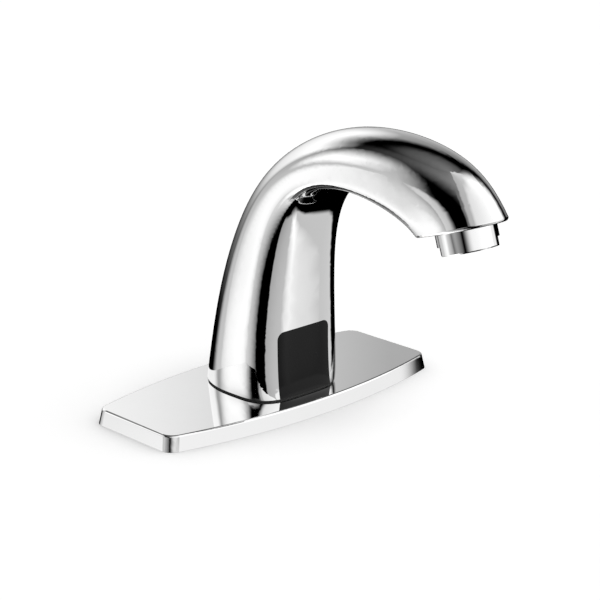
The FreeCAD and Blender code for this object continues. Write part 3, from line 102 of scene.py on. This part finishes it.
def new_group(name, inputs, outputs):
    """A shader node group with named sockets, and its two end nodes."""
    tree = bpy.data.node_groups.new(name, "ShaderNodeTree")
    for socket, kind, value in inputs:
        made = tree.interface.new_socket(socket, in_out="INPUT", socket_type=kind)
        made.default_value = value
    for socket, kind in outputs:
        tree.interface.new_socket(socket, in_out="OUTPUT", socket_type=kind)
    return tree, tree.nodes.new("NodeGroupInput"), tree.nodes.new("NodeGroupOutput")


# %% [markdown]
# ## The studio
# Chrome has no colour of its own, so the studio is most of the picture. The room is dark, with a
# grey ceiling, soft boxes at the left, a big one at the right that arches over the front, and two
# behind. The dark gap between left and right, round the camera, draws the black lines that
# make chrome look like chrome. It could be built of lamps and cards, but patches of the world
# leave no stand or lamp in the reflections, and look the same from every piece. Each soft box is
# such a patch, with round corners: a centre in degrees round and above the tap, half its width
# and height, a corner, a lean, a soft edge, and a light that may fade across it or upwards.
# %% One soft box as a node group
FLOAT = "NodeSocketFloat"
EDGES = ["Across", "Up", "Half Width", "Half Height", "Corner", "Lean", "Softness", "Light"]
EDGES += ["Fade Across", "Fade Up"]
box_inputs = [(name, FLOAT, 0.0) for name in ["Azimuth", "Elevation"] + EDGES]
softbox, box_in, box_out = new_group("softbox", box_inputs, [("Light", FLOAT)])


def math_node(tree, operation, *values):
    """A Math node; each value is a number or a (node, output) pair."""
    node = add(tree, "ShaderNodeMath", operation=operation)
    for index, value in enumerate(values):
        if isinstance(value, tuple):
            tree.links.new(value[0].outputs[value[1]], node.inputs[index])
        else:
            node.inputs[index].default_value = value
    return (node, 0)


def in_softbox(operation, first, second):
    """A Math node of two values in the soft box's own group."""
    return math_node(softbox, operation, first, second)


rise = in_softbox("SUBTRACT", (box_in, "Elevation"), (box_in, "Up"))
turn = in_softbox("SUBTRACT", (box_in, "Azimuth"), (box_in, "Across"))
turn = in_softbox("SUBTRACT", turn, in_softbox("MULTIPLY", rise, (box_in, "Lean")))
over = []
for reach, half in ((turn, "Half Width"), (rise, "Half Height")):
    beyond = in_softbox("SUBTRACT", math_node(softbox, "ABSOLUTE", reach), (box_in, half))
    over.append(in_softbox("ADD", beyond, (box_in, "Corner")))
round_part = []
for beyond in over:
    round_part.append(in_softbox("POWER", in_softbox("MAXIMUM", beyond, 0.0), 2.0))
round_part = math_node(softbox, "SQRT", in_softbox("ADD", *round_part))
flat_part = in_softbox("MINIMUM", in_softbox("MAXIMUM", *over), 0.0)
outside = in_softbox("SUBTRACT", in_softbox("ADD", round_part, flat_part), (box_in, "Corner"))
edge = add(softbox, "ShaderNodeMapRange", interpolation_type="SMOOTHSTEP")
softbox.links.new(outside[0].outputs[0], edge.inputs["Value"])
softbox.links.new(box_in.outputs["Softness"], edge.inputs["From Min"])
inner = in_softbox("MULTIPLY", (box_in, "Softness"), -1.0)
softbox.links.new(inner[0].outputs[0], edge.inputs["From Max"])
fade = 1.0
for reach, half, slope in ((turn, "Half Width", "Fade Across"), (rise, "Half Height", "Fade Up")):
    share = in_softbox("DIVIDE", reach, (box_in, half))
    fade = in_softbox("ADD", fade, in_softbox("MULTIPLY", share, (box_in, slope)))
light = in_softbox("MULTIPLY", (box_in, "Light"), in_softbox("MAXIMUM", fade, 0.0))
light = in_softbox("MULTIPLY", light, (edge, "Result"))
softbox.links.new(light[0].outputs[0], box_out.inputs["Light"])
print("softbox group with", len(softbox.nodes), "nodes")

# %% [markdown]
# The world turns each direction into an angle round the tap, 0 towards the photographer, and an
# angle above the worktop. The boxes behind count their angle from straight behind, so that none
# is split where the circle closes. The brightest box in a direction wins. What the camera sees
# directly is plain white paper.
# %% The world
CAMERA_SIDE = 132.7
world = bpy.data.worlds.new("studio")
bpy.context.scene.world = world
world.use_nodes = True
room = world.node_tree
room.nodes.clear()
direction = add(room, "ShaderNodeTexCoord")
angles = {}
for side, degrees in (("front", CAMERA_SIDE), ("back", CAMERA_SIDE + 180)):
    swung = add(room, "ShaderNodeVectorRotate", rotation_type="Z_AXIS")
    swung.inputs["Angle"].default_value = math.radians(degrees)
    join(room, direction, "Generated", swung, "Vector")
    parts = add(room, "ShaderNodeSeparateXYZ")
    join(room, swung, "Vector", parts, "Vector")
    around = math_node(room, "ARCTAN2", (parts, "Y"), (parts, "X"))
    angles[side] = math_node(room, "MULTIPLY", around, math.degrees(1))
above = math_node(room, "MULTIPLY", math_node(room, "ARCSINE", (parts, "Z")), math.degrees(1))

SOFTBOXES = {
    # side, across, up, half width, half height, corner, lean, softness, light, fades
    "ceiling": ("front", 0, 90, 400, 31, 0, 0, 6, 0.2, 0, 0.7),
    "ceiling_glow": ("front", -3, 88, 92, 38, 13, 0.8, 17, 0.27, 0.75, 0.15),
    "left_box": ("front", -102, -24, 29, 65, 25, 0.1, 9, 0.7, 0.1, -0.45),
    "left_bright": ("front", -102, -41, 19, 41, 0, 0.1, 13, 1, 0.4, 0),
    "left_floor": ("front", -135, -59, 60, 43, 20, 0.4, 14, 1.25, 0.6, -0.9),
    "left_high": ("front", -94, 19, 16, 16, 12, 0, 18, 1.3, 0, 0),
    "left_wing": ("front", -50, 0, 25, 7, 5, 0, 4, 0.42, -0.8, 0),
    "front_low": ("front", -38, -46, 26, 38, 19, -0.8, 3, 0.5, -0.8, -0.1),
    "front_floor": ("front", -50, -78, 46, 40, 18, -0.2, 12, 0.6, -0.5, -0.1),
    "key_wing": ("front", 0, 50, 29, 38, 12, 0, 2, 0.24, 0.3, 0),
    "key_wide": ("front", 50, 54, 70, 40, 17, 0.2, 4, 0.62, 0.2, 0),
    "key_edge": ("front", 79, -1, 34, 10, 8, 0, 3, 0.97, -0.03, 0),
    "key": ("front", 57, 38, 70, 40, 40, 0.2, 13, 1.1, 0.25, -0.1),
    "key_low": ("front", 68, -21, 44, 39, 14, -0.15, 3, 0.56, 0.25, 0.2),
    "key_stripe": ("front", 86, -26, 7, 28, 0, -0.4, 15, 1.3, 0, -0.25),
    "back_left": ("back", 28, 17, 31, 20, 14, 0.2, 12, 1.04, 0, 0.3),
    "back_right": ("back", -8, 20, 30, 21, 20, 0.4, 7, 0.42, 0.5, -0.3),
}
brightest = 0.0
for name, (side, *edges) in SOFTBOXES.items():
    node = add(room, "ShaderNodeGroup", node_tree=softbox, name=name, label=name)
    for socket, value in zip(EDGES, edges):
        node.inputs[socket].default_value = value
    for socket, angle in (("Azimuth", angles[side]), ("Elevation", above)):
        room.links.new(angle[0].outputs[0], node.inputs[socket])
    brightest = math_node(room, "MAXIMUM", (node, "Light"), brightest)
studio_light = add(room, "ShaderNodeBackground")
room.links.new(brightest[0].outputs[0], studio_light.inputs["Color"])
paper = add(room, "ShaderNodeBackground", {"Color": (1, 1, 1, 1), "Strength": 1.0})
sight = add(room, "ShaderNodeLightPath")
either = add(room, "ShaderNodeMixShader")
join(room, sight, "Is Camera Ray", either, 0)
join(room, studio_light, "Background", either, 1)
join(room, paper, "Background", either, 2)
join(room, either, "Shader", add(room, "ShaderNodeOutputWorld"), "Surface")
print("studio with", len(SOFTBOXES), "soft boxes")

# %% [markdown]
# ## The floor
# White paper under the tap. It is drawn almost white by itself, and adds only a little of the
# light that falls on it. Where the plate stands close and hides the sky, its own white is held
# back, so the soft shadow of the photograph stays round the foot. The boxes alone would leave a
# fainter one, because they light the paper from nearly all sides. The chrome sees the studio's
# boxes in the floor's place.
# %% Floor
FLOOR_SIZE = 6
BELOW_THE_PLATE = 0.0001
PAPER_GREY = 0.6
OWN_WHITE = 0.71
SHADOW_REACH = 0.05
bpy.ops.object.select_all(action="DESELECT")
bpy.ops.mesh.primitive_plane_add(size=FLOOR_SIZE, location=(0, 0, -BELOW_THE_PLATE))
floor = bpy.context.object
floor.name = "floor"
floor.visible_glossy = False
paper_white = bpy.data.materials.new("paper")
paper_white.use_nodes = True
tree = paper_white.node_tree
tree.nodes.clear()
lit = add(tree, "ShaderNodeBsdfDiffuse", {"Color": (PAPER_GREY, PAPER_GREY, PAPER_GREY, 1)})
own = add(tree, "ShaderNodeEmission", {"Color": (1, 1, 1, 1)})
seen = add(tree, "ShaderNodeLightPath")
open_sky = add(tree, "ShaderNodeAmbientOcclusion", {"Distance": SHADOW_REACH})
glow = math_node(tree, "MULTIPLY", (seen, "Is Camera Ray"), OWN_WHITE)
glow = math_node(tree, "MULTIPLY", glow, (open_sky, "AO"))
tree.links.new(glow[0].outputs[0], own.inputs["Strength"])
both = add(tree, "ShaderNodeAddShader")
join(tree, lit, "BSDF", both, 0)
join(tree, own, "Emission", both, 1)
join(tree, both, "Shader", add(tree, "ShaderNodeOutputMaterial"), "Surface")
floor.data.materials.append(paper_white)
print("floor at", round(floor.location.z, 4))

# %% [markdown]
# ## A shared grain
# Moulded, cast, turned and brushed surfaces differ in how coarse their grain is and which way it
# runs. One group makes a mask and a height from two sizes of noise on Object coordinates, and
# stretching it along one axis turns it into brush lines. A group is used so that a few numbers
# tell sand casting from brushed brass.
# %% Grain group
FINE_SHARE = 0.6
PATCH_SHARE = 0.4
grain, grain_in, grain_out = new_group(
    "surface_grain",
    [("Scale", FLOAT, 900.0), ("Stretch", "NodeSocketVector", (1, 1, 1)), ("Patches", FLOAT, 40.0)],
    [("Mask", FLOAT), ("Height", FLOAT)],
)
where = add(grain, "ShaderNodeTexCoord")
stretched = add(grain, "ShaderNodeVectorMath", operation="MULTIPLY")
join(grain, where, "Object", stretched, 0)
join(grain, grain_in, "Stretch", stretched, 1)
fine = add(grain, "ShaderNodeTexNoise", {"Detail": 3.0, "Roughness": 0.6})
join(grain, stretched, 0, fine, "Vector")
join(grain, grain_in, "Scale", fine, "Scale")
patches = add(grain, "ShaderNodeTexNoise", {"Detail": 2.0})
join(grain, where, "Object", patches, "Vector")
join(grain, grain_in, "Patches", patches, "Scale")
coarse = math_node(grain, "MULTIPLY", (patches, 0), PATCH_SHARE)
blended = math_node(grain, "MULTIPLY_ADD", (fine, 0), FINE_SHARE, coarse)
grain.links.new(blended[0].outputs[0], grain_out.inputs["Mask"])
join(grain, fine, 0, grain_out, "Height")
print("grain group with", len(grain.nodes), "nodes")

# %% [markdown]
# Each finish is one Principled shader. The grain's mask moves its colour and its roughness between
# two values, so that nothing is one flat tone, and the grain's height dents it where that shows.
# %% A finish built on the grain
GRAIN_DEPTH = 0.0002


def finish(name, dark, light, rough, metallic=0.0, scale=900.0, stretch=(1, 1, 1), bump=0.0, **sockets):
    """A material whose colour and roughness follow the grain's mask between two values."""
    material = bpy.data.materials.new(name)
    material.use_nodes = True
    tree = material.node_tree
    shader = tree.nodes["Principled BSDF"]
    shader.inputs["Metallic"].default_value = metallic
    for socket, value in sockets.items():
        shader.inputs[socket.replace("_", " ")].default_value = value
    made = add(tree, "ShaderNodeGroup", node_tree=grain)
    made.inputs["Scale"].default_value = scale
    made.inputs["Stretch"].default_value = stretch
    tint = add(tree, "ShaderNodeMix", data_type="RGBA")
    tint.inputs["A"].default_value = (*dark, 1)
    tint.inputs["B"].default_value = (*light, 1)
    join(tree, made, "Mask", tint, "Factor")
    tree.links.new(tint.outputs["Result"], shader.inputs["Base Color"])
    spread = add(tree, "ShaderNodeMapRange", {"To Min": rough[0], "To Max": rough[1]})
    join(tree, made, "Mask", spread, "Value")
    join(tree, spread, "Result", shader, "Roughness")
    if bump:
        dent = add(tree, "ShaderNodeBump", {"Strength": bump, "Distance": GRAIN_DEPTH})
        join(tree, made, "Height", dent, "Height")
        join(tree, dent, "Normal", shader, "Normal")
    return material


# %% [markdown]
# ## Finishes
# Polished chrome is almost a mirror: only its roughness drifts a little where it was buffed. The
# lens is deep black and glossy. Everything inside gets the finish of its trade: cast zinc,
# machined brass, turned steel, moulded plastic, rubber, lacquered board and enamelled wire. They
# could be painted as pictures, but patterns worked out from Object coordinates need no files and
# stay sharp at any distance.
# %% Finishes
def grey(value):
    """One neutral colour."""
    return (value, value, value)


FINISHES = {
    "chrome_body": finish("chrome_body", grey(0.86), grey(0.9), (0.015, 0.04), 1.0, scale=60),
    "chrome_plate": finish("chrome_plate", grey(0.86), grey(0.9), (0.02, 0.05), 1.0, scale=60),
    "chrome_aerator": finish("chrome_aerator", grey(0.86), grey(0.9), (0.02, 0.05), 1.0, scale=60),
    "dark_lens": finish("dark_lens", grey(0.003), grey(0.005), (0.03, 0.06), scale=200, IOR=1.27),
    "black_rubber": finish("black_rubber", grey(0.012), grey(0.03), (0.55, 0.75), bump=0.3),
    "grey_foam": finish("grey_foam", grey(0.03), grey(0.08), (0.8, 0.95), scale=2500, bump=0.8),
    "black_plastic": finish("black_plastic", grey(0.02), grey(0.035), (0.35, 0.5), scale=2000, bump=0.25),
    "circuit_board": finish("circuit_board", (0.01, 0.1, 0.03), (0.03, 0.2, 0.07), (0.2, 0.35), scale=500),
    "clear_lens": finish(
        "clear_lens", (0.6, 0.65, 0.75), (0.75, 0.78, 0.85), (0.05, 0.1), Coat_Weight=0.5
    ),
    "dark_diode": finish(
        "dark_diode", (0.03, 0.01, 0.03), (0.06, 0.02, 0.06), (0.05, 0.1), Coat_Weight=0.5
    ),
    "steel": finish("steel", grey(0.5), grey(0.66), (0.2, 0.36), 1.0, stretch=(1, 1, 12), bump=0.1),
    "cast_zinc": finish("cast_zinc", grey(0.4), grey(0.55), (0.4, 0.6), 1.0, scale=700, bump=0.5),
    "brass": finish(
        "brass", (0.6, 0.42, 0.17), (0.8, 0.62, 0.32), (0.18, 0.34), 1.0, stretch=(1, 1, 10), bump=0.1
    ),
    "valve_plastic": finish("valve_plastic", grey(0.72), grey(0.8), (0.35, 0.5), scale=1500, bump=0.15),
    "white_plastic": finish("white_plastic", grey(0.75), grey(0.83), (0.3, 0.45), scale=1500, bump=0.1),
    "copper": finish(
        "copper", (0.5, 0.2, 0.08), (0.8, 0.4, 0.2), (0.2, 0.35), 1.0,
        scale=400, stretch=(0.1, 0.1, 8), bump=0.9,
    ),
    "grid_plastic": finish("grid_plastic", grey(0.5), grey(0.6), (0.3, 0.45), scale=1500, bump=0.1),
}
for part in frame["record"]["subparts"]:
    piece = nodes[part["node"]]
    piece.data.materials.clear()
    piece.data.materials.append(FINISHES[part["material_slot"]])
print(len(FINISHES), "finishes on", len(nodes), "nodes")

# %% [markdown]
# ## The plunger's spring
# The spring sits between the plunger and the fixed core above it, and shortens as the plunger
# lifts. The model's coil can't shorten, so a copy of it, with its loose triangles merged, takes
# its place, and the point where it meets the core is found. It could be wound again as a helix,
# but the copy keeps the coil's exact form.
# %% Spring
MERGE_GAP = 0.00001
spring_low, spring_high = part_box("plunger_spring")
spring = bpy.data.objects.new("return_spring", nodes["plunger_spring"].data.copy())
bpy.context.scene.collection.objects.link(spring)
bpy.ops.object.select_all(action="DESELECT")
bpy.context.view_layer.objects.active = spring
spring.select_set(True)
bpy.ops.object.mode_set(mode="EDIT")
bpy.ops.mesh.select_all(action="SELECT")
bpy.ops.mesh.remove_doubles(threshold=MERGE_GAP)
bpy.ops.object.mode_set(mode="OBJECT")
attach(spring, "tap")
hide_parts("plunger_spring")
core_end = [0.5 * (low + high) for low, high in zip(spring_low, spring_high)]
core_end[2] = spring_high[2]
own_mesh(spring)
